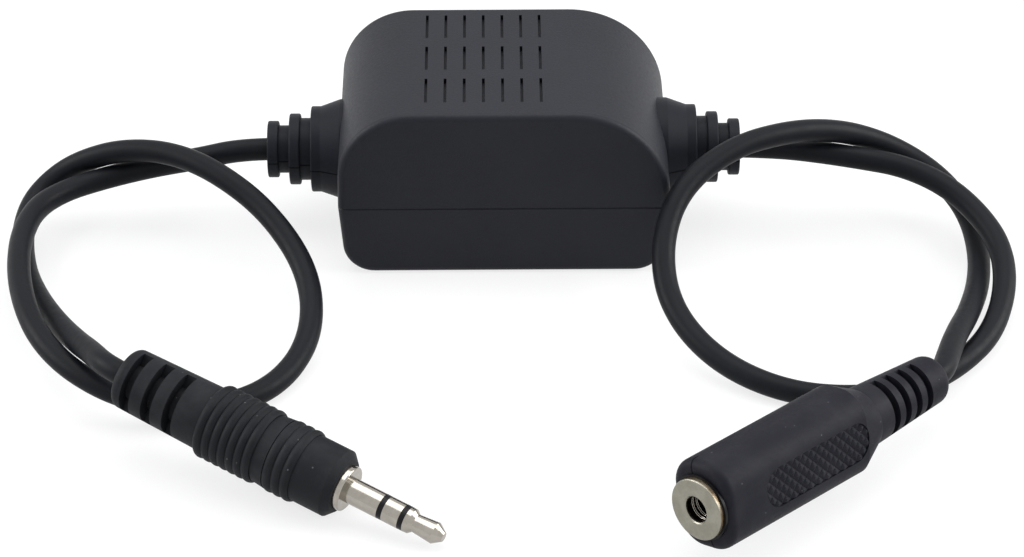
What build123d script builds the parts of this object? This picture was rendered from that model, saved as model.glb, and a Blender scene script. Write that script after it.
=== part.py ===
from build123d import *
from math import cos, pi, radians, sin, tan
import os

# Ground loop isolator: a two-part housing with a pair of isolation transformers,
# an input lead that ends in a 3.5 mm plug and an output lead that ends in a 3.5 mm jack.
# Frame: +Z up, +X towards the output lead, the front faces -Y, and the part stands on z = 0
# with the middle of the housing's underside over the origin.

# Housing
housing_width = 47.2
housing_depth = 30.6
housing_height = 26.2
seam_height = 10.8
wall = 1.8
arch_shoulder_left = 4.9
arch_shoulder_right = 1.4
arch_radius_left = housing_height - seam_height - arch_shoulder_left
arch_radius_right = housing_height - seam_height - arch_shoulder_right
bottom_corner_radius = 4.5
end_edge_radius = 1.0
upper_draft = 1.0
lower_draft = 5.0
seam_bevel = 0.15
lip_thickness = 0.8
lip_height = 1.2
lip_clearance = 0.1

# Vent grooves in the top
vent_columns = 7
vent_rows = 3
vent_column_pitch = 2.71
vent_row_pitch = 8.95
vent_length = 6.45
vent_width = 0.4
vent_depth = 0.7
vent_centre_x = -2.85
vent_centre_y = 0.75

# Strain reliefs, one at each end of the housing
relief_axis_height = 11.5
relief_reach = 10.5
relief_ring_width = 1.6
relief_gap_width = 1.55
relief_end_ring_diameter = 8.2
relief_middle_ring_diameter = 10.3
relief_collar_diameter = 12.4
relief_flare_diameter = 14.4
relief_flare_length = 2.8
relief_neck_step = 1.3
relief_edge_radius = 0.25
relief_throat_diameter = 9.0
relief_flange_diameter = 12.0
relief_flange_thickness = 1.5
relief_clearance = 0.1

# Circuit board and its posts
board_end_clearance = 2.3
board_side_clearance = 2.0
board_length = housing_width - 2 * wall - 2 * board_end_clearance
board_width = housing_depth - 2 * wall - 2 * board_side_clearance
board_thickness = 1.6
board_height = 4.6
post_diameter = 4.0
post_inset = 2.6
pin_hole_clearance = 0.1

# Isolation transformers, one for each audio channel
core_width = 13.4
core_height = 12.0
core_stack = 5.0
core_outer_leg = core_width / 6.7
core_centre_leg = 1.8 * core_outer_leg
core_yoke = core_outer_leg
transformer_gap = 1.5
transformer_spacing = core_width + transformer_gap
bobbin_wall = 0.5
bobbin_flange = 0.6
bobbin_clearance = 0.1
winding_clearance = 0.7
terminal_block_depth = 2.6
pin_diameter = 0.6
pin_pitch = 2.5
pins_per_side = 3
pin_tail = 1.0
pin_seat = 1.2
solder_diameter = 1.5
solder_height = 0.8

# Inner wires from each relief to the board
wire_diameter = 1.0
wire_spread_at_relief = 1.3
wire_spread_at_board = 5.5
wire_run_in = 1.4
wire_pad_inset = 1.6

# Cords
cord_diameter = 3.3
cord_rest_height = 1.7

# Plug: its pose, measured from the tip, then its sizes from the tip backwards
plug_tip_x = -8.2
plug_tip_y = -79.2
plug_tip_z = 1.9
plug_heading = 60.15
plug_nose_down = 9.9
plug_roll = 31.0
plug_length = 49.5
plug_pin_diameter = 3.5
plug_pin_length = 14.3
tip_cone_length = 1.25
tip_cone_end_diameter = 1.3
tip_bulb_diameter = 3.0
tip_waist_diameter = 2.5
tip_waist_station = 4.2
tip_length = 5.4
insulator_band = 0.75
ring_contact_length = 2.4
tip_rod_diameter = 1.0
inner_insulator_diameter = 1.6
ring_tube_diameter = 2.1
outer_insulator_diameter = 2.7
plug_collar_diameter = 6.3
plug_collar_thickness = 0.9
plug_shank_length = 6.0
plug_nose_diameter = 9.4
plug_nose_length = 5.7
plug_nose_edge = 1.0
front_grip_diameter = 10.2
front_grip_ridges = 3
front_grip_pitch = 1.35
grip_band_length = 1.95
grip_band_front_diameter = 9.9
grip_band_rear_diameter = 9.5
main_grip_diameter = 10.4
main_grip_ridges = 7
main_grip_pitch = 1.25
grip_groove_depth = 0.3
plug_body_diameter = 9.0
plug_boot_end_diameter = 8.4
plug_boot_end_radius = 1.1
plug_boot_slot_first = 40.2
plug_boot_slot_pitch = 3.4
plug_boot_slot_width = 1.5
plug_boot_slots = 3
boot_core_diameter = 5.2
boot_spine_width = 2.1

# Jack: its pose, measured from the middle of its face, then its sizes from the face backwards
jack_face_x = 23.8
jack_face_y = -83.8
jack_face_z = 9.6
jack_heading = 45.75
jack_nose_up = 3.6
jack_roll = 14.0
jack_length = 47.2
jack_bore_diameter = 3.6
jack_bore_depth = 15.0
jack_bore_chamfer = 0.15
ferrule_diameter = 8.4
ferrule_thickness = 0.8
ferrule_edge = 0.2
ferrule_tube_diameter = 5.2
ferrule_tube_length = 4.2
barrel_ring_diameter = 9.0
barrel_ring_length = 0.4
barrel_diameter = 7.4
barrel_length = 18.0
barrel_bore_clearance = 0.1
contact_ring_width = 0.8
contact_ring_outer_diameter = 4.8
contact_ring_first = 7.0
contact_ring_pitch = 2.2
barrel_clearance = 0.05
jack_body_height = 12.2
jack_body_thickness = 9.8
jack_body_corner = 4.0
jack_body_length = 26.7
jack_body_edge = 1.2
jack_shoulder_length = 3.8
jack_boot_diameter = 8.4
jack_boot_end_diameter = 6.7
jack_boot_end_radius = 1.6
jack_boot_slot_first = 35.0
jack_boot_slot_pitch = 2.4
jack_boot_slot_width = 1.2
jack_boot_slots = 4
jack_spine_turn = -17.5
grip_panel_length = 20.0
grip_panel_height = 5.4
grip_panel_start = 8.2
grip_panel_depth = 0.3

relief_end_x = housing_width / 2 + relief_reach

# The points that lay out the input cord's runs, from its relief to the plug's boot.
# It makes a loop and a half: under itself at the back, over itself at the left.
input_cord_points = [
    (-relief_end_x, 0, relief_axis_height),
    (-39.6, 0, relief_axis_height),
    (-47.0, 0, 9.2),
    (-56.7, -0.5, 7.6),
    (-65.8, -5.8, 7.5),
    (-68.9, -17.2, 6.9),
    (-67.8, -32.3, 5.6),
    (-60.8, -43.9, 4.9),
    (-51.2, -51.9, 3.8),
    (-40.7, -52.7, 2.7),
    (-31.7, -46.4, 2.1),
    (-26.7, -35.9, 3.1),
    (-27.3, -24.4, 6.1),
    (-33.6, -14.4, 10.1),
    (-42.3, -6.2, 13.0),
    (-51.4, -0.7, 12.5),
    (-59.7, 2.9, 9.5),
    (-67.4, -0.4, 6.0),
    (-70.2, -8.5, 3.0),
    (-66.4, -16.6, 1.8),
    (-64.6, -24.0, 4.2),
    (-62.3, -34.2, 8.9),
    (-59.3, -46.0, 12.2),
]
input_cord_lead_in = 5.2

# The points that lay out the output cord's runs, from its relief to the jack's boot.
output_cord_points = [
    (relief_end_x, 0, relief_axis_height),
    (41.5, 0, relief_axis_height),
    (52.2, -2.5, 11.0),
    (62.1, -6.2, 10.0),
    (67.8, -12.6, 7.7),
    (71.1, -20.6, 4.9),
    (69.7, -29.7, 2.7),
    (64.7, -38.8, cord_rest_height),
    (58.0, -46.7, cord_rest_height),
    (48.5, -49.3, 1.9),
    (37.7, -47.6, cord_rest_height),
    (28.8, -41.2, 2.6),
    (22.9, -32.5, 5.5),
    (21.7, -23.7, 10.2),
    (25.3, -15.4, 15.0),
    (33.7, -8.2, 17.2),
    (43.8, -2.7, 16.5),
    (53.2, 0.6, 13.2),
    (60.4, 1.4, 9.1),
    (65.5, -1.8, 5.5),
    (67.6, -7.7, 2.5),
    (68.0, -15.7, cord_rest_height),
    (66.1, -26.4, 3.1),
    (62.9, -37.3, 5.0),
    (62.2, -44.5, 6.0),
]
output_cord_lead_in = 3.8


# Shared shapes
def turned(points, axis=Axis.X):
    """A solid of revolution about the X axis from (station, radius) points."""
    outline = Plane.XY * make_face(Polyline(*points, close=True))
    return revolve(outline, axis=axis)


def rod(start, end, diameter, bore=0.0):
    """A round bar or tube along X between two stations."""
    bar = Plane.YZ.offset(start) * Circle(diameter / 2)
    solid = extrude(bar, end - start)
    if bore > 0:
        hole = Plane.YZ.offset(start) * Circle(bore / 2)
        solid -= extrude(hole, end - start)
    return solid


def block(x, y, z, size_x, size_y, size_z):
    """A box centred on (x, y) that stands on z."""
    return Pos(x, y, z + size_z / 2) * Box(size_x, size_y, size_z)


def write_part(shape, name):
    shape.label = name
    export_step(shape, f"parts/{name}.step")


# Housing
def upper_form(inset):
    """The upper shell's outside, or its inside when inset by the wall."""
    half = housing_width / 2 - inset
    top = housing_height - inset
    lean = tan(radians(upper_draft)) * (housing_height - seam_height)
    outline = Polyline(
        (-half, seam_height),
        (-half + lean, top),
        (half - lean, top),
        (half, seam_height),
        close=True,
    )
    face = make_face(outline)
    corners = face.vertices().group_by(Axis.Y)[-1].sort_by(Axis.X)
    face = fillet(corners[0], arch_radius_left - inset)
    corner = face.vertices().sort_by(Axis.X)[-2:].sort_by(Axis.Y)[-1]
    face = fillet(corner, arch_radius_right - inset)
    depth = housing_depth - 2 * inset
    return extrude(Plane.XZ.offset(-depth / 2) * face, depth)


def lower_form(inset):
    """The lower shell's outside, or its inside when inset by the wall."""
    half = housing_width / 2 - inset
    lean = tan(radians(lower_draft)) * seam_height
    outline = Polyline(
        (-half, seam_height),
        (half, seam_height),
        (half - lean, inset),
        (-half + lean, inset),
        close=True,
    )
    face = make_face(outline)
    corners = face.vertices().group_by(Axis.Y)[0]
    face = fillet(corners, bottom_corner_radius - inset)
    depth = housing_depth - 2 * inset
    return extrude(Plane.XZ.offset(-depth / 2) * face, depth)


def end_edges(form):
    """The edges round the front and back faces, apart from those on the seam."""
    rims = form.faces().sort_by(Axis.Y)
    edges = rims[0].edges() + rims[-1].edges()
    return edges.filter_by(lambda edge: abs(edge.center().Z - seam_height) > 0.01)


def lip_ring(thickness, height):
    """The tongue that stands on the lower shell's rim, inside the wall."""
    length = housing_width - 2 * wall
    width = housing_depth - 2 * wall
    outer = block(0, 0, seam_height, length + 2 * thickness, width + 2 * thickness, height)
    inner = block(0, 0, seam_height, length, width, height)
    return outer - inner


def relief_hole():
    """The round opening through both end walls, halved by the seam."""
    reach = housing_width / 2 + 1
    hole = rod(-reach, reach, relief_throat_diameter + 2 * relief_clearance)
    return Pos(0, 0, relief_axis_height) * hole


def vent_grooves():
    groove = Box(vent_width, vent_length, 2 * vent_depth)
    places = GridLocations(vent_column_pitch, vent_row_pitch, vent_columns, vent_rows)
    row = [place * groove for place in places]
    return Pos(vent_centre_x, vent_centre_y, housing_height) * Compound(row)


def make_upper_shell():
    outside = upper_form(0)
    outside = fillet(end_edges(outside), end_edge_radius)
    rim = outside.faces().sort_by(Axis.Z)[0].edges()
    outside = chamfer(rim, seam_bevel)
    shell = outside - upper_form(wall)
    rebate = lip_ring(lip_thickness + lip_clearance, lip_height + lip_clearance)
    return shell - rebate - relief_hole() - vent_grooves()


def make_lower_shell():
    outside = lower_form(0)
    outside = fillet(end_edges(outside), end_edge_radius)
    rim = outside.faces().sort_by(Axis.Z)[-1].edges()
    outside = chamfer(rim, seam_bevel)
    shell = outside - lower_form(wall) + lip_ring(lip_thickness, lip_height)
    post = Cylinder(post_diameter / 2, board_height - wall)
    span_x = board_length - 2 * post_inset
    span_y = board_width - 2 * post_inset
    for place in GridLocations(span_x, span_y, 2, 2):
        shell += Pos(0, 0, (board_height + wall) / 2) * place * post
    return shell - relief_hole()


# Strain reliefs
def make_relief(side):
    """A ringed tail, a flared base, and a flange that holds it inside the wall."""
    face = housing_width / 2
    stations = [face + relief_reach]
    for width in (relief_ring_width, relief_gap_width, relief_ring_width, relief_gap_width):
        stations.append(stations[-1] - width)
    end_ring = relief_end_ring_diameter / 2
    middle_ring = relief_middle_ring_diameter / 2
    collar = relief_collar_diameter / 2
    flare = relief_flare_diameter / 2
    neck_one = end_ring - relief_neck_step / 2
    neck_two = middle_ring - relief_neck_step / 2
    flare_start = face + relief_flare_length
    root = face - 2 * wall
    tail = turned([
        (stations[0], 0),
        (stations[0], end_ring),
        (stations[1], end_ring),
        (stations[1], neck_one),
        (stations[2], neck_one),
        (stations[2], middle_ring),
        (stations[3], middle_ring),
        (stations[3], neck_two),
        (stations[4], neck_two),
        (stations[4], collar),
        (flare_start, collar),
        (face, flare),
        (root, flare),
        (root, 0),
    ])
    rims = tail.edges().filter_by(GeomType.CIRCLE)
    rims = rims.filter_by(lambda edge: edge.center().X > flare_start + 0.1)
    outer_rims = []
    for radius in (end_ring, middle_ring, collar):
        outer_rims += rims.filter_by(lambda edge: abs(edge.radius - radius) < 0.01)
    tail = fillet(outer_rims, relief_edge_radius)
    inner_face = face - wall - relief_clearance
    flange_start = inner_face - relief_flange_thickness
    throat = rod(flange_start, face + 0.6, relief_throat_diameter)
    flange = rod(flange_start, face, relief_flange_diameter)
    height = Pos(0, 0, relief_axis_height)
    tail, throat, flange = height * tail, height * throat, height * flange
    if side < 0:
        tail, throat, flange = [mirror(solid, about=Plane.YZ) for solid in (tail, throat, flange)]
    inside = upper_form(wall + relief_clearance) + lower_form(wall + relief_clearance)
    tail -= upper_form(0) + lower_form(0)
    return tail + throat + (flange & inside)


# Circuit board and transformers
board_top = board_height + board_thickness
core_window = (core_width - core_centre_leg) / 2 - core_outer_leg
winding_height = core_height - 2 * core_yoke - 2 * bobbin_flange
winding_room = core_window - bobbin_clearance - bobbin_wall - winding_clearance
primary_thickness = winding_room / 2
secondary_thickness = winding_room / 2
block_centre_y = core_stack / 2 + bobbin_clearance + terminal_block_depth / 2
relief_inner_x = housing_width / 2 - wall - relief_flange_thickness - relief_clearance
wire_pad_x = board_length / 2 - wire_pad_inset


def pin_places(side):
    """Centres of one transformer's pins: a row along each of its long sides."""
    centre_x = side * transformer_spacing / 2
    rows = GridLocations(pin_pitch, 2 * block_centre_y, pins_per_side, 2)
    return [(centre_x + place.position.X, place.position.Y) for place in rows]


def make_circuit_board():
    board = block(0, 0, board_height, board_length, board_width, board_thickness)
    for side in (-1, 1):
        for x, y in pin_places(side):
            hole = Cylinder(pin_diameter / 2 + pin_hole_clearance, 3 * board_thickness)
            board -= Pos(x, y, board_height) * hole
    return board


def make_core(side):
    core = block(0, 0, board_top, core_width, core_stack, core_height)
    window_x = core_centre_leg / 2 + core_window / 2
    for window_side in (-1, 1):
        core -= block(
            window_side * window_x, 0, board_top + core_yoke,
            core_window, core_stack, core_height - 2 * core_yoke,
        )
    return Pos(side * transformer_spacing / 2, 0, 0) * core


def winding_tube(inner_growth, thickness, base, height):
    """A rectangular tube round the centre leg, grown outwards from it."""
    inner_x = core_centre_leg + 2 * inner_growth
    inner_y = core_stack + 2 * inner_growth
    outer = block(0, 0, base, inner_x + 2 * thickness, inner_y + 2 * thickness, height)
    outer = fillet(outer.edges().filter_by(Axis.Z), 0.6 * thickness)
    return outer - block(0, 0, base, inner_x, inner_y, height)


def make_bobbin(side):
    base = board_top + core_yoke
    inside_height = core_height - 2 * core_yoke
    former = winding_tube(bobbin_clearance, bobbin_wall, base, inside_height)
    flange_x = core_centre_leg + 2 * core_window - 2 * bobbin_clearance
    flange_y = 2 * (core_stack / 2 + bobbin_clearance + terminal_block_depth)
    opening_x = core_centre_leg + 2 * bobbin_clearance
    opening_y = core_stack + 2 * bobbin_clearance
    for z in (base, base + inside_height - bobbin_flange):
        plate = block(0, 0, z, flange_x, flange_y, bobbin_flange)
        former += plate - block(0, 0, z, opening_x, opening_y, bobbin_flange)
    for block_side in (-1, 1):
        y = block_side * block_centre_y
        former += block(0, y, board_top, flange_x, terminal_block_depth, core_yoke)
    former = Pos(side * transformer_spacing / 2, 0, 0) * former
    for x, y in pin_places(side):
        former -= Pos(x, y, board_top) * Cylinder(pin_diameter / 2, 2 * pin_seat)
    return former


def make_primary(side):
    growth = bobbin_clearance + bobbin_wall
    base = board_top + core_yoke + bobbin_flange
    coil = winding_tube(growth, primary_thickness, base, winding_height)
    return Pos(side * transformer_spacing / 2, 0, 0) * coil


def make_secondary(side):
    growth = bobbin_clearance + bobbin_wall + primary_thickness
    base = board_top + core_yoke + bobbin_flange
    inner_x = core_centre_leg + 2 * growth
    inner_y = core_stack + 2 * growth
    outer = block(
        0, 0, base,
        inner_x + 2 * secondary_thickness, inner_y + 2 * secondary_thickness, winding_height,
    )
    outer = fillet(outer.edges().filter_by(Axis.Z), 0.6 * secondary_thickness)
    core = block(0, 0, base, inner_x, inner_y, winding_height)
    core = fillet(core.edges().filter_by(Axis.Z), 0.6 * primary_thickness)
    return Pos(side * transformer_spacing / 2, 0, 0) * (outer - core)


def make_pins(side):
    length = pin_seat + board_thickness + pin_tail
    pin = Cylinder(pin_diameter / 2, length)
    low = board_height - pin_tail
    pins = [Pos(x, y, low + length / 2) * pin for x, y in pin_places(side)]
    return Compound(pins)


def make_solder(side):
    """A small cone of solder round each pin, under the board."""
    fillets = []
    for x, y in pin_places(side):
        cone = Cone(pin_diameter / 2 + 0.1, solder_diameter / 2, solder_height)
        cone -= Cylinder(pin_diameter / 2, solder_height)
        fillets.append(Pos(x, y, board_height - solder_height / 2) * cone)
    return Compound(fillets)


def make_wire(side, lane):
    """One core of a cord, from the relief's inner face down to the board."""
    start_y = lane * wire_spread_at_relief
    end_y = lane * wire_spread_at_board
    points = [
        (relief_inner_x, start_y, relief_axis_height),
        (relief_inner_x - wire_run_in, start_y, relief_axis_height),
        (wire_pad_x, end_y, board_top + 2.4),
        (wire_pad_x, end_y, board_top),
    ]
    path = FilletPolyline(*points, radius=0.8)
    section = Plane(origin=path @ 0, z_dir=path % 0) * Circle(wire_diameter / 2)
    wire = sweep(section, path=path)
    return wire if side > 0 else mirror(wire, about=Plane.YZ)


# Plug and jack poses: local +X runs from the tip or face back to the boot
def pointing(heading, rise):
    """A unit vector: heading is measured from the front towards +X, rise above level."""
    level = cos(radians(rise))
    return Vector(
        level * sin(radians(heading)),
        -level * cos(radians(heading)),
        sin(radians(rise)),
    )


def pose(origin, forward, roll):
    """A plane whose x runs backwards and whose z is turned about it from upright by roll."""
    side = Vector(0, 0, 1).cross(forward).normalized()
    upright = forward.cross(side).normalized()
    tilted = upright * cos(radians(roll)) + side * sin(radians(roll))
    return Plane(origin=origin, x_dir=forward * -1, z_dir=tilted)


plug_forward = pointing(plug_heading, -plug_nose_down)
plug_tip = Vector(plug_tip_x, plug_tip_y, plug_tip_z)
plug_end = plug_tip - plug_forward * plug_length
plug_plane = pose(plug_tip, plug_forward, plug_roll)

jack_forward = pointing(-jack_heading, jack_nose_up)
jack_face = Vector(jack_face_x, jack_face_y, jack_face_z)
jack_end = jack_face - jack_forward * jack_length
jack_plane = pose(jack_face, jack_forward, -jack_roll)


def boot_slots(first, pitch, width, count, diameter, turn):
    """Slots round a boot that leave a spine at its top and its bottom, turned about its axis."""
    spine_length = pitch * count + width
    middle = first + pitch * (count - 1) / 2
    spine = Pos(middle, 0, 0) * Rot(turn, 0, 0) * Box(spine_length, boot_spine_width, diameter + 4)
    slots = []
    for index in range(count):
        station = first + index * pitch
        ring = rod(station - width / 2, station + width / 2, diameter + 2, boot_core_diameter)
        slots.append(ring - spine)
    return slots


# Plug
pin_station = plug_pin_length
collar_station = pin_station + plug_collar_thickness
nose_end = collar_station + plug_nose_length
front_grip_end = nose_end + front_grip_ridges * front_grip_pitch
main_grip_start = front_grip_end + grip_band_length
main_grip_end = main_grip_start + main_grip_ridges * main_grip_pitch
ring_start = tip_length + insulator_band
ring_end = ring_start + ring_contact_length
sleeve_start = ring_end + insulator_band
shank_end = collar_station + plug_shank_length


def make_plug_tip():
    radius = plug_pin_diameter / 2
    contact = turned([
        (0, 0),
        (0, tip_cone_end_diameter / 2),
        (tip_cone_length, tip_bulb_diameter / 2),
        (tip_waist_station, tip_waist_diameter / 2),
        (tip_waist_station + 0.55, radius - 0.05),
        (tip_length, radius),
        (tip_length, tip_rod_diameter / 2),
        (shank_end, tip_rod_diameter / 2),
        (shank_end, 0),
    ])
    return contact


def make_front_insulator():
    collar = rod(tip_length, ring_start, plug_pin_diameter - 0.05, tip_rod_diameter)
    tube = rod(ring_start, shank_end, inner_insulator_diameter, tip_rod_diameter)
    return collar + tube


def make_ring_contact():
    band = rod(ring_start, ring_end, plug_pin_diameter, inner_insulator_diameter)
    tube = rod(ring_end, shank_end, ring_tube_diameter, inner_insulator_diameter)
    return band + tube


def make_rear_insulator():
    collar = rod(ring_end, sleeve_start, plug_pin_diameter - 0.05, ring_tube_diameter)
    tube = rod(sleeve_start, shank_end, outer_insulator_diameter, ring_tube_diameter)
    return collar + tube


def make_sleeve_contact():
    sleeve = rod(sleeve_start, shank_end, plug_pin_diameter, outer_insulator_diameter)
    collar = rod(pin_station, collar_station, plug_collar_diameter, outer_insulator_diameter)
    rims = collar.edges().filter_by(GeomType.CIRCLE).sort_by(Axis.X)[:2]
    outer_rim = rims.sort_by(lambda edge: edge.radius)[-1]
    return sleeve + fillet(outer_rim, 0.2)


def ridges(start, pitch, count, diameter):
    """The outline of a ridged grip: rounded beads that meet in narrow grooves."""
    crown = diameter / 2
    groove = crown - grip_groove_depth
    beads = []
    for index in range(count):
        near = start + index * pitch
        bead = ThreePointArc((near, groove), (near + pitch / 2, crown), (near + pitch, groove))
        beads.append(bead)
    return beads


def make_plug_overmould():
    nose = plug_nose_diameter / 2
    body = plug_body_diameter / 2
    front_groove = front_grip_diameter / 2 - grip_groove_depth
    main_groove = main_grip_diameter / 2 - grip_groove_depth
    nose_line = Polyline(
        (collar_station, 0),
        (collar_station, nose - plug_nose_edge),
        (collar_station + plug_nose_edge, nose),
        (nose_end, nose),
        (nose_end, front_groove),
    )
    band_line = Polyline(
        (front_grip_end, front_groove),
        (front_grip_end, grip_band_front_diameter / 2),
        (main_grip_start, grip_band_rear_diameter / 2),
        (main_grip_start, main_groove),
    )
    boot_line = Polyline(
        (main_grip_end, main_groove),
        (main_grip_end, body),
        (plug_length, plug_boot_end_diameter / 2),
        (plug_length, 0),
        (collar_station, 0),
    )
    front_ridges = ridges(nose_end, front_grip_pitch, front_grip_ridges, front_grip_diameter)
    main_ridges = ridges(main_grip_start, main_grip_pitch, main_grip_ridges, main_grip_diameter)
    outline = [nose_line, *front_ridges, band_line, *main_ridges, boot_line]
    edges = [edge for line in outline for edge in line.edges()]
    mould = revolve(make_face(edges), axis=Axis.X)
    tail = mould.edges().filter_by(GeomType.CIRCLE).sort_by(Axis.X)[-1]
    mould = fillet(tail, plug_boot_end_radius)
    for slot in boot_slots(
        plug_boot_slot_first, plug_boot_slot_pitch, plug_boot_slot_width, plug_boot_slots,
        plug_body_diameter, 0,
    ):
        mould -= slot
    return mould - rod(collar_station, shank_end, plug_pin_diameter)


# Jack
barrel_start = ferrule_thickness
body_start = barrel_start + barrel_ring_length
barrel_end = body_start + barrel_length
body_end = body_start + jack_body_length
shoulder_end = body_end + jack_shoulder_length
ferrule_end = ferrule_thickness + ferrule_tube_length
contact_stations = [contact_ring_first, contact_ring_first + contact_ring_pitch]


def make_ferrule():
    disc = rod(0, ferrule_thickness, ferrule_diameter)
    disc = fillet(disc.edges().filter_by(GeomType.CIRCLE).sort_by(Axis.X)[0], ferrule_edge)
    bush = disc + rod(ferrule_thickness, ferrule_end, ferrule_tube_diameter)
    bush -= rod(0, ferrule_end, jack_bore_diameter)
    mouth = jack_bore_diameter / 2
    bush -= turned([
        (0, 0),
        (0, mouth + jack_bore_chamfer),
        (jack_bore_chamfer, mouth),
        (jack_bore_chamfer, 0),
    ])
    return bush


def make_contact_ring(station):
    bore = jack_bore_diameter + 2 * barrel_bore_clearance
    return rod(station, station + contact_ring_width, contact_ring_outer_diameter, bore)


def make_barrel():
    flange = rod(barrel_start, body_start, barrel_ring_diameter)
    barrel = flange + rod(body_start, barrel_end, barrel_diameter)
    barrel -= rod(barrel_start, ferrule_end, ferrule_tube_diameter)
    bore = jack_bore_diameter + 4 * barrel_bore_clearance
    barrel -= rod(ferrule_end, jack_bore_depth, bore)
    for station in contact_stations:
        barrel -= rod(station, station + contact_ring_width, contact_ring_outer_diameter)
    return barrel


def body_section(station):
    outline = RectangleRounded(jack_body_thickness, jack_body_height, jack_body_corner)
    return Plane.YZ.offset(station) * outline


def grip_panel_cut(side):
    """The shallow oval recess of one grip panel, on a flat side of the body."""
    outer = jack_body_thickness / 2
    centre_x = grip_panel_start + grip_panel_length / 2
    outline = Plane.XZ * Pos(centre_x, 0) * SlotOverall(grip_panel_length, grip_panel_height)
    panel = extrude(outline, -outer - 1)
    floor = 2 * (outer - grip_panel_depth)
    panel -= block(centre_x, 0, -grip_panel_height, grip_panel_length + 2, floor, 2 * grip_panel_height)
    return panel if side > 0 else mirror(panel, about=Plane.XZ)


def make_jack_overmould():
    trunk = extrude(body_section(body_start), jack_body_length)
    front_rim = trunk.faces().sort_by(Axis.X)[0].edges()
    trunk = fillet(front_rim, jack_body_edge)
    shoulder_round = Plane.YZ.offset(shoulder_end) * RectangleRounded(
        jack_boot_diameter, jack_boot_diameter, jack_boot_diameter / 2 - 0.01
    )
    shoulder = loft([body_section(body_end), shoulder_round])
    boot = turned([
        (shoulder_end, 0),
        (shoulder_end, jack_boot_diameter / 2),
        (jack_length, jack_boot_end_diameter / 2),
        (jack_length, 0),
    ])
    tail = boot.edges().filter_by(GeomType.CIRCLE).sort_by(Axis.X)[-1]
    boot = fillet(tail, jack_boot_end_radius)
    mould = trunk + shoulder + boot
    for slot in boot_slots(
        jack_boot_slot_first, jack_boot_slot_pitch, jack_boot_slot_width, jack_boot_slots,
        jack_boot_diameter, jack_spine_turn,
    ):
        mould -= slot
    for side in (-1, 1):
        mould -= grip_panel_cut(side)
    return mould - rod(body_start, barrel_end, barrel_diameter + 2 * barrel_clearance)


# Cords
def make_cord(points, end, forward, lead_in, name):
    """A round cord on straight runs joined by arcs as large as the runs allow."""
    route = [Vector(*point) for point in points] + [end - forward * lead_in, end]
    runs = [b - a for a, b in zip(route, route[1:])]
    radii = []
    for before, after in zip(runs, runs[1:]):
        turn = before.get_angle(after)
        radii.append(0.45 * min(before.length, after.length) / tan(radians(turn / 2)))
    path = FilletPolyline(*route, radius=radii)
    section = Plane(origin=path @ 0, z_dir=path % 0) * Circle(cord_diameter / 2)
    tube = sweep(section, path=path)
    expected = pi * cord_diameter**2 / 4 * path.length
    print(name, "length", round(path.length, 1), "volume ratio", round(tube.volume / expected, 4))
    print(name, "radii", [round(radius, 1) for radius in radii])
    return tube


os.makedirs("parts", exist_ok=True)

write_part(make_upper_shell(), "upper_shell")
write_part(make_lower_shell(), "lower_shell")
write_part(make_relief(-1), "input_relief")
write_part(make_relief(1), "output_relief")

write_part(make_circuit_board(), "circuit_board")
for channel, side in (("left", -1), ("right", 1)):
    write_part(make_core(side), f"{channel}_core")
    write_part(make_bobbin(side), f"{channel}_bobbin")
    write_part(make_primary(side), f"{channel}_primary_winding")
    write_part(make_secondary(side), f"{channel}_secondary_winding")
    write_part(make_pins(side), f"{channel}_pins")
    write_part(make_solder(side), f"{channel}_solder")
for cord, side in (("input", -1), ("output", 1)):
    for core, lane in (("red", -1), ("ground", 0), ("white", 1)):
        write_part(make_wire(side, lane), f"{cord}_{core}_wire")

write_part(plug_plane.location * make_plug_overmould(), "plug_overmould")
write_part(plug_plane.location * make_sleeve_contact(), "plug_sleeve")
write_part(plug_plane.location * make_rear_insulator(), "plug_rear_insulator")
write_part(plug_plane.location * make_ring_contact(), "plug_ring")
write_part(plug_plane.location * make_front_insulator(), "plug_front_insulator")
write_part(plug_plane.location * make_plug_tip(), "plug_tip")

write_part(jack_plane.location * make_jack_overmould(), "jack_overmould")
write_part(jack_plane.location * make_barrel(), "jack_barrel")
write_part(jack_plane.location * make_ferrule(), "jack_ferrule")
for name, station in zip(("jack_ring_contact", "jack_tip_contact"), contact_stations):
    write_part(jack_plane.location * make_contact_ring(station), name)

write_part(
    make_cord(input_cord_points, plug_end, plug_forward, input_cord_lead_in, "input cord"),
    "input_cord",
)
write_part(
    make_cord(output_cord_points, jack_end, jack_forward, output_cord_lead_in, "output cord"),
    "output_cord",
)
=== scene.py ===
import math

import bmesh
import bpy
from mathutils import Matrix, Vector


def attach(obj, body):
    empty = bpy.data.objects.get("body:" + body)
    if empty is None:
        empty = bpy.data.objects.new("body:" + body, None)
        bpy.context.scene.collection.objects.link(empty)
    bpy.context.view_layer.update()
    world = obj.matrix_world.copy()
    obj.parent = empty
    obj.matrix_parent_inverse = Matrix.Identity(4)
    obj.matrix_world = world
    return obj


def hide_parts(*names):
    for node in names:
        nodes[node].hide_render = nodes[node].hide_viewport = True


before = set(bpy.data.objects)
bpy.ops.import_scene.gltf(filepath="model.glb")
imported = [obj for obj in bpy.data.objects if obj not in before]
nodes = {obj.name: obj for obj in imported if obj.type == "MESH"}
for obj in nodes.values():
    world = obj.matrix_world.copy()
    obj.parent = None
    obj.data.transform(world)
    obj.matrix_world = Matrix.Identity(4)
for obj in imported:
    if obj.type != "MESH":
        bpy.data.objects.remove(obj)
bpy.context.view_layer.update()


# Camera, fitted to the photograph's view of the housing; sensor and lens are in millimetres
camera_place = Vector((-0.0017734, -0.4559749, 0.2962760))
camera_right = Vector((0.999968, -0.007761, -0.001908))
camera_up = Vector((0.005923, 0.559292, 0.828950))
camera_forward = Vector((0.005366, 0.828935, -0.559320))
camera_sensor = 36.0
camera_lens = 130.2
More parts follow.
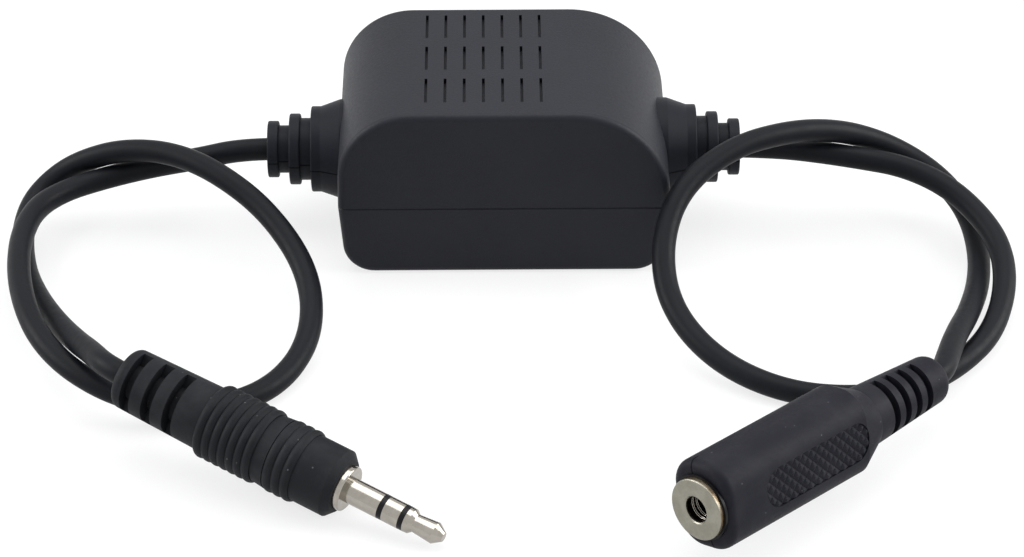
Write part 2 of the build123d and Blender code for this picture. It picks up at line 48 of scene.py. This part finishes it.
camera_clip = 0.05


def make_camera():
    data = bpy.data.cameras.new("camera")
    data.sensor_width = camera_sensor
    data.lens = camera_lens
    data.clip_start = camera_clip
    camera = bpy.data.objects.new("camera", data)
    bpy.context.scene.collection.objects.link(camera)
    turn = Matrix((camera_right, camera_up, -camera_forward)).transposed()
    camera.matrix_world = Matrix.Translation(camera_place) @ turn.to_4x4()
    return camera


bpy.context.scene.camera = make_camera()
bpy.context.scene.view_settings.view_transform = "Standard"


# Leads: the points of each route are listed, from the relief to the boot
def metres(points):
    """Points given in millimetres, in metres."""
    return [tuple(value / 1000 for value in point) for point in points]


input_route = metres([
    (-34.1, 0, 11.5), (-38.5, 0, 11.4), (-44.1, 0.6, 9.6), (-51.3, 0.9, 8.05),
    (-58.1, -0.8, 7.2), (-63.8, -4.4, 7.3), (-67.6, -9.8, 7.5), (-68.7, -19, 7.6),
    (-67.4, -30.2, 7.6), (-64.1, -40.3, 6.8), (-58.4, -47.2, 5.3), (-50.5, -51.5, 3.9),
    (-40.5, -51.6, 2.15), (-31.4, -45.7, 1.5), (-26.7, -35.2, 2.6), (-27.3, -24.4, 6.1),
    (-33.4, -14.3, 10), (-41.5, -7.4, 12.75), (-48.6, -2.6, 12.85), (-55.5, 0, 11.5),
    (-61.2, 1.1, 9.05), (-65.1, 1.1, 6.6), (-68.3, -1.6, 4.4), (-69.4, -6.2, 3.2),
    (-69.3, -11.8, 2.6), (-67.9, -19, 2.5), (-65.2, -27.2, 3.7), (-61.7, -35.2, 5.2),
    (-58.3, -42.4, 7.2), (-55.8, -47.6, 9.15), (-53.3, -53.3, 10.98), (-50.494, -54.929, 10.41),
])
output_route = metres([
    (34.1, 0, 11.5), (39.8, -0.4, 11.55), (45.5, -1.1, 11.2), (51.6, -1.7, 10.45),
    (57.8, -3.3, 10.1), (63.8, -7.1, 9.1), (68.3, -12.5, 7.2), (70.7, -18.4, 5.4),
    (70.4, -26, 3.6), (67.6, -34.4, 2.1), (62.6, -41.1, 1.7), (56.2, -46.4, 1.7),
    (48.2, -49.2, 1.8), (37.8, -47.5, 1.7), (28.7, -41.1, 2.6), (22.8, -32.4, 5.5),
    (21.8, -23.7, 10.2), (25, -15.8, 14.9), (32.6, -9.2, 17.2), (40.6, -4.4, 16.7),
    (47.6, -0.6, 14.65), (54, 1.9, 11.5), (60, 1.9, 8.1), (64.5, -1, 5.6),
    (67.4, -5.8, 3.4), (68.2, -12.6, 2.1), (67.3, -21.4, 2), (64.7, -31.2, 3.5),
    (61.9, -39.1, 5.3), (60.1, -45.4, 6.2), (58.9, -49.61, 6.517), (57.543, -50.929, 6.636),
])
cord_diameter = 0.0033
cord_steps = 16
cord_roundness = 6


def make_cord(name, route):
    """A round cord on a smooth curve; its control points are the route's and carry its radius."""
    curve = bpy.data.curves.new(name, "CURVE")
    curve.dimensions = "3D"
    curve.resolution_u = cord_steps
    curve.bevel_depth = 1.0
    curve.bevel_resolution = cord_roundness
    curve.use_fill_caps = True
    spline = curve.splines.new("NURBS")
    spline.points.add(len(route) - 1)
    for point, place in zip(spline.points, route):
        point.co = (*place, 1.0)
        point.radius = cord_diameter / 2
    spline.order_u = 3
    spline.use_endpoint_u = True
    cord = bpy.data.objects.new(name, curve)
    bpy.context.scene.collection.objects.link(cord)
    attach(cord, "root")
    return cord


input_lead = make_cord("input_lead", input_route)
output_lead = make_cord("output_lead", output_route)
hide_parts("input_cord")
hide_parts("output_cord")


# The jack's own frame: x runs from its mouth to its boot, y out of a grip panel, z up the panel
jack_origin = Vector((0.0238, -0.0838, 0.0096))
jack_x = Vector((0.714888, 0.696414, -0.062791))
jack_y = Vector((-0.687944, 0.684425, -0.241445))
jack_z = Vector((-0.12517, 0.215802, 0.968381))


def on_jack(x, y, z):
    """A point of the jack's own frame, in the frame of the whole part."""
    return jack_origin + jack_x * x + jack_y * y + jack_z * z


def new_piece(name, mesh):
    piece = bpy.data.objects.new(name, mesh)
    bpy.context.scene.collection.objects.link(piece)
    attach(piece, "root")
    return piece


# Knurl of the jack's two grip panels: slanted rows of small blunt pyramids in an oval outline
panel_start = 0.0082
panel_length = 0.0200
panel_height = 0.0054
panel_floor = 0.0046
panel_middle = panel_start + panel_length / 2
panel_margin = 0.00003
panel_rim_sides = 40
knurl_pitch = 0.0016
knurl_row = 0.00084
knurl_height = 0.00027
knurl_slope = 1.25
knurl_steps = 6
knurl_spare = 0.0003
knurl_spare_cells = 4


def knurl_point(column, row, side):
    """A point of the knurl in the jack's own frame, from its column and row in the slanted grid."""
    u, v = column / knurl_steps, row / knurl_steps
    towards_edge = 2 * max(abs(u - math.floor(u) - 0.5), abs(v - math.floor(v) - 0.5))
    rise = knurl_height * min(1.0, (1 - towards_edge) * knurl_slope)
    return panel_middle + (u + v) * knurl_pitch / 2, side * (panel_floor + rise), (u - v) * knurl_row


def lay_knurl(bm, side):
    """Faces of the knurl over one whole panel and a little beyond its outline."""
    vertices = {}

    def vertex(column, row):
        if (column, row) not in vertices:
            vertices[column, row] = bm.verts.new(knurl_point(column, row, side))
        return vertices[column, row]

    reach = knurl_steps * (int(panel_length / knurl_pitch) + knurl_spare_cells)
    for column in range(-reach, reach):
        for row in range(-reach, reach):
            x, _, z = knurl_point(column + 0.5, row + 0.5, side)
            beyond_x = abs(x - panel_middle) - panel_length / 2
            beyond_z = abs(z) - panel_height / 2
            if max(beyond_x, beyond_z) > knurl_spare:
                continue
            ring = [
                vertex(column, row), vertex(column + 1, row),
                vertex(column + 1, row + 1), vertex(column, row + 1),
            ]
            if side > 0:
                ring.reverse()
            bm.faces.new(ring)


def trim_knurl(bm, side):
    """Cuts one side's knurl back to the panel's oval outline."""
    end_radius = panel_height / 2
    for turn in range(panel_rim_sides):
        angle = 2 * math.pi * turn / panel_rim_sides
        outward = Vector((math.cos(angle), 0.0, math.sin(angle)))
        centre_x = panel_middle + math.copysign(panel_length / 2 - end_radius, outward.x)
        rim = Vector((centre_x, 0.0, 0.0)) + outward * (end_radius - panel_margin)
        faces = [face for face in bm.faces if face.calc_center_median().y * side > 0]
        edges = dict.fromkeys(edge for face in faces for edge in face.edges)
        verts = dict.fromkeys(vert for face in faces for vert in face.verts)
        bmesh.ops.bisect_plane(
            bm, geom=[*faces, *edges, *verts], plane_co=rim, plane_no=outward, clear_outer=True,
        )


def knurl_mesh():
    bm = bmesh.new()
    for side in (-1, 1):
        lay_knurl(bm, side)
        trim_knurl(bm, side)
    for vert in bm.verts:
        vert.co = on_jack(*vert.co)
    mesh = bpy.data.meshes.new("jack_knurl")
    bm.to_mesh(mesh)
    bm.free()
    return mesh


jack_knurl = new_piece("jack_knurl", knurl_mesh())


# Two pairs of thin spring rings just inside the jack's mouth
ring_stations = (0.00130, 0.00155, 0.00205, 0.00230)
ring_radius = 0.00180
ring_wire_radius = 0.00008
ring_steps = 64
ring_wire_sides = 10


def ring_point(station, step, wire_side):
    """A point on a spring ring's wire."""
    angle = 2 * math.pi * step / ring_steps
    turn = 2 * math.pi * wire_side / ring_wire_sides
    radius = ring_radius + ring_wire_radius * math.cos(turn)
    x = station + ring_wire_radius * math.sin(turn)
    return on_jack(x, radius * math.cos(angle), radius * math.sin(angle))


def ring_mesh():
    bm = bmesh.new()
    for station in ring_stations:
        loops = [
            [bm.verts.new(ring_point(station, step, wire_side)) for wire_side in range(ring_wire_sides)]
            for step in range(ring_steps)
        ]
        for step in range(ring_steps):
            here, beyond = loops[step], loops[(step + 1) % ring_steps]
            for wire_side in range(ring_wire_sides):
                side, following = wire_side, (wire_side + 1) % ring_wire_sides
                face = bm.faces.new((here[side], beyond[side], beyond[following], here[following]))
                face.smooth = True
    bmesh.ops.recalc_face_normals(bm, faces=bm.faces)
    mesh = bpy.data.meshes.new("jack_bore_rings")
    bm.to_mesh(mesh)
    bm.free()
    return mesh


jack_rings = new_piece("jack_bore_rings", ring_mesh())


# Node helpers: a value is either a plain one or another node's output
def feed(tree, socket, value):
    if isinstance(value, bpy.types.NodeSocket):
        tree.links.new(value, socket)
    else:
        socket.default_value = value


def make_node(tree, kind, inputs, **settings):
    node = tree.nodes.new(kind)
    for name, value in settings.items():
        setattr(node, name, value)
    for key, value in inputs.items():
        feed(tree, node.inputs[key], value)
    return node


def place_in_part(tree):
    """The surface point's place in the part's frame."""
    return tree.nodes.new("ShaderNodeTexCoord").outputs["Object"]


def noise(tree, place, scale, kind):
    inputs = {"Vector": place, "Scale": scale, **kind}
    return make_node(tree, "ShaderNodeTexNoise", inputs).outputs["Fac"]


def ramp(tree, value, low, high, out_low=0.0, out_high=1.0):
    """Takes low to out_low and high to out_high, and holds those ends."""
    inputs = {
        "Value": value, "From Min": low, "From Max": high, "To Min": out_low, "To Max": out_high,
    }
    return make_node(tree, "ShaderNodeMapRange", inputs).outputs["Result"]


def mix_color(tree, factor, first, second):
    inputs = {"Factor": factor, "A": first, "B": second}
    return make_node(tree, "ShaderNodeMix", inputs, data_type="RGBA").outputs["Result"]


def calculate(tree, operation, *values):
    return make_node(tree, "ShaderNodeMath", dict(enumerate(values)), operation=operation).outputs[0]


def vector_node(tree, operation, first, second):
    return make_node(tree, "ShaderNodeVectorMath", {0: first, 1: second}, operation=operation)


def scaled_vector(tree, vector, factor):
    inputs = {0: vector, "Scale": factor}
    return make_node(tree, "ShaderNodeVectorMath", inputs, operation="SCALE").outputs[0]


def bump_normal(tree, height, strength, distance):
    inputs = {"Strength": strength, "Distance": distance, "Height": height}
    return make_node(tree, "ShaderNodeBump", inputs).outputs["Normal"]


def opaque(color):
    return (*color, 1.0)


def new_group(name, inputs, outputs):
    """An empty shader node group with named sockets: its tree, what it is given, what it puts out."""
    tree = bpy.data.node_groups.new(name, "ShaderNodeTree")
    for label, kind in inputs.items():
        tree.interface.new_socket(label, in_out="INPUT", socket_type="NodeSocket" + kind)
    for label, kind in outputs.items():
        tree.interface.new_socket(label, in_out="OUTPUT", socket_type="NodeSocket" + kind)
    given = tree.nodes.new("NodeGroupInput").outputs
    return tree, given, tree.nodes.new("NodeGroupOutput").inputs


def use_group(tree, group, inputs):
    return make_node(tree, "ShaderNodeGroup", inputs, node_tree=group).outputs


# Shared effects: a scale counts features in a metre, and noise mostly stays from noise_low to noise_high
noise_low = 0.3
noise_high = 0.7
fine_noise = {"Detail": 2.0, "Roughness": 0.5}
cloud_noise = {"Detail": 3.0, "Roughness": 0.6}
grain_noise = {"Detail": 3.0, "Roughness": 0.65}
patch_noise = {"Detail": 4.0, "Roughness": 0.65}
grain_share = 0.8
roughness_swing = 0.06
cloud_scale = 90.0
speck_scale = 560.0
speck_edge = 0.075
speck_core = 0.035
film_scale = 140.0
film_low = 0.48
film_high = 0.75
film_strength = 0.10
line_edge = 0.55
line_core = 0.35


def make_axis_group():
    """How far a surface point lies along an axis, and how far away from it."""
    tree, given, result = new_group(
        "place on axis", {"Origin": "Vector", "Axis": "Vector"}, {"Along": "Float", "Radius": "Float"},
    )
    offset = vector_node(tree, "SUBTRACT", place_in_part(tree), given["Origin"]).outputs[0]
    along = vector_node(tree, "DOT_PRODUCT", offset, given["Axis"]).outputs["Value"]
    foot = scaled_vector(tree, given["Axis"], along)
    feed(tree, result["Along"], along)
    feed(tree, result["Radius"], vector_node(tree, "DISTANCE", offset, foot).outputs["Value"])
    return tree


def make_moulded_group():
    """Mould grain, faint clouds, and dust with light specks: colour, roughness and normal."""
    tree, given, result = new_group(
        "moulded surface",
        {
            "Base": "Color", "Roughness": "Float", "Grain Scale": "Float", "Grain Height": "Float",
            "Mottle": "Float", "Dust": "Color", "Dust Amount": "Float",
        },
        {"Color": "Color", "Roughness": "Float", "Normal": "Vector"},
    )
    place = place_in_part(tree)
    grain = noise(tree, place, given["Grain Scale"], grain_noise)
    fine = ramp(tree, grain, noise_low, noise_high, -1.0, 1.0)
    broad = ramp(tree, noise(tree, place, cloud_scale, cloud_noise), noise_low, noise_high, -1.0, 1.0)
    blend = calculate(tree, "MULTIPLY_ADD", fine, grain_share, broad)
    shade = calculate(tree, "MULTIPLY_ADD", blend, given["Mottle"], 1.0)
    tint = scaled_vector(tree, given["Base"], shade)
    cells = make_node(tree, "ShaderNodeTexVoronoi", {"Vector": place, "Scale": speck_scale})
    specks = ramp(tree, cells.outputs["Distance"], speck_edge, speck_core)
    patches = noise(tree, place, film_scale, patch_noise)
    film = ramp(tree, patches, film_low, film_high, 0.0, film_strength)
    dust = calculate(tree, "MULTIPLY", calculate(tree, "MAXIMUM", specks, film), given["Dust Amount"])
    feed(tree, result["Color"], mix_color(tree, dust, tint, given["Dust"]))
    rough = calculate(tree, "MULTIPLY_ADD", fine, roughness_swing, given["Roughness"])
    feed(tree, result["Roughness"], rough)
    normal = bump_normal(tree, grain, strength=1.0, distance=given["Grain Height"])
    feed(tree, result["Normal"], normal)
    return tree


def make_line_group():
    """A mask that is 1 on the thin line where a surface crosses a plane."""
    tree, given, result = new_group(
        "parting line", {"Origin": "Vector", "Normal": "Vector", "Width": "Float"}, {"Mask": "Float"},
    )
    offset = vector_node(tree, "SUBTRACT", place_in_part(tree), given["Origin"]).outputs[0]
    across = vector_node(tree, "DOT_PRODUCT", offset, given["Normal"]).outputs["Value"]
    share = calculate(tree, "DIVIDE", calculate(tree, "ABSOLUTE", across), given["Width"])
    feed(tree, result["Mask"], ramp(tree, share, line_edge, line_core))
    return tree


place_on_axis = make_axis_group()
moulded_surface = make_moulded_group()
parting_line = make_line_group()


# Finishes
def new_material(name, plain):
    """A material whose plain values are set on the shader's own sockets."""
    material = bpy.data.materials.new(name)
    material.use_nodes = True
    tree = material.node_tree
    shader = tree.nodes["Principled BSDF"]
    for label, value in plain.items():
        shader.inputs[label].default_value = value
    return material, tree, shader.inputs


grey_dust = (0.10, 0.10, 0.105)


def moulded_material(
    name, base, roughness, grain_scale, grain_height, specular=0.5, mottle=0.10, dust_amount=0.0,
):
    """Plastic or rubber with the moulded surface."""
    material, tree, shader = new_material(name, {"Specular IOR Level": specular})
    surface = use_group(tree, moulded_surface, {
        "Base": opaque(base), "Roughness": roughness,
        "Grain Scale": grain_scale, "Grain Height": grain_height,
        "Mottle": mottle, "Dust": opaque(grey_dust), "Dust Amount": dust_amount,
    })
    feed(tree, shader["Base Color"], surface["Color"])
    feed(tree, shader["Roughness"], surface["Roughness"])
    feed(tree, shader["Normal"], surface["Normal"])
    return material


parting_shade = (0.001, 0.001, 0.0014)
parting_fade = 0.1


def add_parting(material, origin, normal, width, jack_reach=None):
    """Darkens and dulls a moulded material on its parting line, on the jack only near its mouth."""
    tree = material.node_tree
    shader = tree.nodes["Principled BSDF"].inputs
    plane = {"Origin": origin, "Normal": normal, "Width": width}
    mask = use_group(tree, parting_line, plane)["Mask"]
    if jack_reach:
        along = use_group(tree, place_on_axis, {"Origin": jack_origin, "Axis": jack_x})["Along"]
        near = ramp(tree, along, jack_reach * (1 + parting_fade), jack_reach * (1 - parting_fade))
        mask = calculate(tree, "MULTIPLY", mask, near)
    color = shader["Base Color"].links[0].from_socket
    rough = shader["Roughness"].links[0].from_socket
    feed(tree, shader["Base Color"], mix_color(tree, mask, color, opaque(parting_shade)))
    feed(tree, shader["Roughness"], calculate(tree, "MAXIMUM", rough, mask))


def darker(color, share):
    return tuple(value * (1 - share) for value in color)


metal_fine_ratio = 6
metal_relief = 0.00001


def metal_material(name, base, roughness, cloud_scale, mottle):
    """Plated or molten metal with faint clouds and a fine uneven gloss."""
    material, tree, shader = new_material(name, {"Metallic": 1.0})
    place = place_in_part(tree)
    clouds = ramp(tree, noise(tree, place, cloud_scale, cloud_noise), low=0.35, high=0.65)
    fine = noise(tree, place, cloud_scale * metal_fine_ratio, fine_noise)
    rough = ramp(tree, fine, noise_low, noise_high, out_low=roughness * 0.75, out_high=roughness * 1.3)
    color = mix_color(tree, clouds, opaque(darker(base, mottle)), opaque(base))
    feed(tree, shader["Base Color"], color)
    feed(tree, shader["Roughness"], rough)
    feed(tree, shader["Normal"], bump_normal(tree, fine, strength=0.4, distance=metal_relief))
    return material


# At a scale of 1, the wave texture's bands repeat after this length
wave_repeat = 2 * math.pi / 20
stripe_shade = 0.5
stripe_wander = 0.6
stripe_detail = 2.0
stripe_cloud_scale = 400.0


def striped_metal(name, base, roughness, pitch, direction):
    """Metal in fine lines: a winding's turns, a bare wire's strands or a core's sheets."""
    material, tree, shader = new_material(name, {"Metallic": 1.0})
    place = place_in_part(tree)
    stripes = make_node(
        tree, "ShaderNodeTexWave",
        {
            "Vector": place, "Scale": wave_repeat / pitch,
            "Distortion": stripe_wander, "Detail": stripe_detail,
        },
        wave_type="BANDS", bands_direction=direction,
    ).outputs["Fac"]
    clouds = noise(tree, place, stripe_cloud_scale, cloud_noise)
    rough = ramp(tree, clouds, noise_low, noise_high, out_low=roughness * 0.8, out_high=roughness * 1.25)
    color = mix_color(tree, stripes, opaque(darker(base, stripe_shade)), opaque(base))
    feed(tree, shader["Base Color"], color)
    feed(tree, shader["Roughness"], rough)
    feed(tree, shader["Normal"], bump_normal(tree, stripes, strength=0.8, distance=pitch / 3))
    return material


ferrule_dull = (0.235, 0.225, 0.185)
ferrule_bright = (0.285, 0.275, 0.23)
# Painted warm reflection on the ferrule's outer side
ferrule_warm_reflection = (0.16, 0.11, 0.06)
# Painted shade on the wall inside the ferrule's mouth
painted_bore_shade = (0.020, 0.017, 0.011)
ferrule_patch_scale = 420.0
reflection_patch_scale = 900.0
ferrule_nick_scale = 800.0
ferrule_fine_scale = 2500.0
ferrule_relief = 0.00003
ferrule_side_from = 0.0040
ferrule_side_full = 0.0041
ferrule_rim_from = 0.00012
ferrule_rim_full = 0.00035
bore_dark_from = 0.00192
bore_dark_full = 0.00184
bore_depth_from = 0.0002
bore_depth_full = 0.0005


def ferrule_metal():
    """Satin nickel face, a painted warm reflection in uneven patches on the side, painted shade inside
    the mouth.
    """
    material, tree, shader = new_material("satin nickel", {"Metallic": 1.0})
    place = place_in_part(tree)
    on_axis = use_group(tree, place_on_axis, {"Origin": jack_origin, "Axis": jack_x})
    along, radius = on_axis["Along"], on_axis["Radius"]
    patches = ramp(tree, noise(tree, place, ferrule_patch_scale, patch_noise), low=0.38, high=0.62)
    face = mix_color(tree, patches, opaque(ferrule_dull), opaque(ferrule_bright))
    # The side's painted warm reflection covers the outer wall past the rim and is uneven in patches
    side = calculate(
        tree, "MULTIPLY",
        ramp(tree, radius, ferrule_side_from, ferrule_side_full),
        ramp(tree, along, ferrule_rim_from, ferrule_rim_full),
    )
    reflection_noise = noise(tree, place, reflection_patch_scale, cloud_noise)
    reflection_patches = ramp(tree, reflection_noise, low=0.4, high=0.6, out_low=0.55, out_high=1.0)
    outer = mix_color(tree, calculate(tree, "MULTIPLY", side, reflection_patches), face, opaque(ferrule_warm_reflection))
    # Mask of the painted shade: the bore's wall, from a little way behind its rim inwards
    inside = calculate(
        tree, "MULTIPLY",
        ramp(tree, radius, bore_dark_from, bore_dark_full),
        ramp(tree, along, bore_depth_from, bore_depth_full),
    )
    feed(tree, shader["Base Color"], mix_color(tree, inside, outer, opaque(painted_bore_shade)))
    fine = noise(tree, place, ferrule_fine_scale, fine_noise)
    rough = ramp(tree, fine, noise_low, noise_high, out_low=0.30, out_high=0.48)
    feed(tree, shader["Roughness"], rough)
    dents = noise(tree, place, ferrule_nick_scale, fine_noise)
    nicks = ramp(tree, dents, low=0.62, high=0.75, out_low=1.0, out_high=0.0)
    height = calculate(tree, "MULTIPLY_ADD", nicks, 0.6, fine)
    feed(tree, shader["Normal"], bump_normal(tree, height, strength=0.4, distance=ferrule_relief))
    return material


housing_plastic = moulded_material(
    "housing plastic", base=(0.0098, 0.0106, 0.0150), roughness=0.5,
    grain_scale=2600.0, grain_height=0.00003, specular=0.19,
)
relief_rubber = moulded_material(
    "relief rubber", base=(0.0080, 0.0090, 0.0128), roughness=0.5,
    grain_scale=1800.0, grain_height=0.00001, specular=0.11,
)
cord_jacket = moulded_material(
    "cord jacket", base=(0.0066, 0.0072, 0.0092), roughness=0.45,
    grain_scale=900.0, grain_height=0.000008, specular=0.09,
)
plug_rubber = moulded_material(
    "plug overmould", base=(0.0072, 0.0082, 0.0102), roughness=0.6,
    grain_scale=2200.0, grain_height=0.000012, specular=0.12, mottle=0.12, dust_amount=1.0,
)
jack_rubber = moulded_material(
    "jack overmould", base=(0.0080, 0.0082, 0.0122), roughness=0.55,
    grain_scale=2200.0, grain_height=0.00001, specular=0.10, dust_amount=0.8,
)
black_insulator = moulded_material(
    "black insulator", base=(0.005, 0.005, 0.006), roughness=0.35,
    grain_scale=1500.0, grain_height=0.000004, specular=0.15,
)
solder_mask = moulded_material(
    "solder mask", base=(0.012, 0.075, 0.03), roughness=0.35,
    grain_scale=900.0, grain_height=0.000006, mottle=0.25,
)
bobbin_plastic = moulded_material(
    "bobbin plastic", base=(0.62, 0.58, 0.47), roughness=0.4,
    grain_scale=1500.0, grain_height=0.000006,
)
red_insulation = moulded_material(
    "red insulation", base=(0.42, 0.02, 0.014), roughness=0.35,
    grain_scale=900.0, grain_height=0.000004,
)
white_insulation = moulded_material(
    "white insulation", base=(0.72, 0.72, 0.69), roughness=0.35,
    grain_scale=900.0, grain_height=0.000004,
)
polished_nickel = metal_material(
    "polished nickel", base=(0.38, 0.355, 0.315), roughness=0.16, cloud_scale=700.0, mottle=0.12,
)
satin_nickel = ferrule_metal()
bright_solder = metal_material(
    "solder", base=(0.62, 0.62, 0.63), roughness=0.3, cloud_scale=900.0, mottle=0.15,
)
enamelled_copper = striped_metal(
    "enamelled copper", base=(0.62, 0.24, 0.09), roughness=0.3, pitch=0.00012, direction="Z",
)
twisted_copper = striped_metal(
    "twisted copper", base=(0.75, 0.42, 0.22), roughness=0.35, pitch=0.0003, direction="DIAGONAL",
)
laminated_steel = striped_metal(
    "laminated steel", base=(0.22, 0.22, 0.23), roughness=0.45, pitch=0.00035, direction="Y",
)

# The reliefs part level with the cords' exits, the jack on a plane turned a little from its panels
jack_parting_turn = math.radians(12.06)
jack_parting_normal = jack_y * math.cos(jack_parting_turn) - jack_z * math.sin(jack_parting_turn)
add_parting(relief_rubber, origin=input_route[0], normal=(0.0, 0.0, 1.0), width=0.00022)
add_parting(
    jack_rubber, origin=jack_origin, normal=jack_parting_normal, width=0.0002, jack_reach=0.0030,
)

node_finishes = (
    (housing_plastic, ("upper_shell", "lower_shell")),
    (relief_rubber, ("input_relief", "output_relief")),
    (cord_jacket, ("input_cord", "output_cord")),
    (plug_rubber, ("plug_overmould",)),
    (jack_rubber, ("jack_overmould",)),
    (black_insulator, ("plug_rear_insulator", "plug_front_insulator", "jack_barrel")),
    (polished_nickel, ("plug_sleeve", "plug_ring", "plug_tip", "jack_ring_contact", "jack_tip_contact")),
    (satin_nickel, ("jack_ferrule",)),
    (solder_mask, ("circuit_board",)),
    (laminated_steel, ("left_core", "right_core")),
    (bobbin_plastic, ("left_bobbin", "right_bobbin")),
    (enamelled_copper, (
        "left_primary_winding", "right_primary_winding",
        "left_secondary_winding", "right_secondary_winding",
    )),
    (bright_solder, ("left_pins", "right_pins", "left_solder", "right_solder")),
    (red_insulation, ("input_red_wire", "output_red_wire")),
    (white_insulation, ("input_white_wire", "output_white_wire")),
    (twisted_copper, ("input_ground_wire", "output_ground_wire")),
)
for finish, names in node_finishes:
    for name in names:
        nodes[name].material_slots[0].material = finish
for piece, finish in (
    (input_lead, cord_jacket), (output_lead, cord_jacket),
    (jack_knurl, jack_rubber), (jack_rings, polished_nickel),
):
    piece.data.materials.append(finish)


# Stage: a pale floor just under the part, a white surround and three soft lamps
white = (1.0, 1.0, 1.0, 1.0)
floor_half = 1.5
floor_height = -0.00002
floor_color = (0.9, 0.9, 0.9, 1.0)
floor_white_share = 0.75
sky_color = (0.93, 0.96, 1.0, 1.0)
sky_strength = 0.55


def show_white(tree, lit, plain, output, share):
    """Mixes in plain white for rays that look at the surface; other rays see it as lit."""
    rays = tree.nodes.new("ShaderNodeLightPath").outputs
    seen = calculate(tree, "MAXIMUM", rays["Is Camera Ray"], rays["Is Glossy Ray"])
    seen = calculate(tree, "MAXIMUM", seen, rays["Is Transmission Ray"])
    inputs = {"Fac": calculate(tree, "MULTIPLY", seen, share), 1: lit, 2: plain}
    feed(tree, output, make_node(tree, "ShaderNodeMixShader", inputs).outputs[0])


def make_floor():
    mesh = bpy.data.meshes.new("floor")
    signs = [(-1, -1), (1, -1), (1, 1), (-1, 1)]
    corners = [(x * floor_half, y * floor_half, floor_height) for x, y in signs]
    mesh.from_pydata(corners, [], [(0, 1, 2, 3)])
    floor = bpy.data.objects.new("floor", mesh)
    bpy.context.scene.collection.objects.link(floor)
    plain = {"Base Color": floor_color, "Roughness": 1.0, "Specular IOR Level": 0.0}
    material, tree, shader = new_material("floor", plain)
    glow = make_node(tree, "ShaderNodeEmission", {"Color": white, "Strength": 1.0}).outputs[0]
    lit = tree.nodes["Principled BSDF"].outputs[0]
    show_white(tree, lit, glow, tree.nodes["Material Output"].inputs["Surface"], floor_white_share)
    mesh.materials.append(material)


def make_sky():
    world = bpy.data.worlds.new("world")
    bpy.context.scene.world = world
    world.use_nodes = True
    tree = world.node_tree
    tree.nodes.clear()
    output = tree.nodes.new("ShaderNodeOutputWorld").inputs["Surface"]
    shown = {"Color": white, "Strength": 1.0}
    light = {"Color": sky_color, "Strength": sky_strength}
    plain = make_node(tree, "ShaderNodeBackground", shown).outputs[0]
    lit = make_node(tree, "ShaderNodeBackground", light).outputs[0]
    show_white(tree, lit, plain, output, share=1.0)


def soft_light(name, place, size, power):
    """A rectangular lamp that faces the middle of the housing's underside."""
    data = bpy.data.lights.new(name, "AREA")
    data.shape = "RECTANGLE"
    data.size, data.size_y = size
    data.energy = power
    lamp = bpy.data.objects.new(name, data)
    bpy.context.scene.collection.objects.link(lamp)
    lamp.location = place
    lamp.rotation_mode = "QUATERNION"
    lamp.rotation_quaternion = (-Vector(place)).to_track_quat("-Z", "Y")


make_floor()
make_sky()
soft_light("overhead", place=(0.0, 0.15, 0.75), size=(0.9, 0.7), power=5.0)
soft_light("left", place=(-0.7, 0.05, 0.35), size=(0.5, 0.5), power=4.5)
soft_light("right", place=(0.7, 0.05, 0.35), size=(0.5, 0.5), power=6.0)
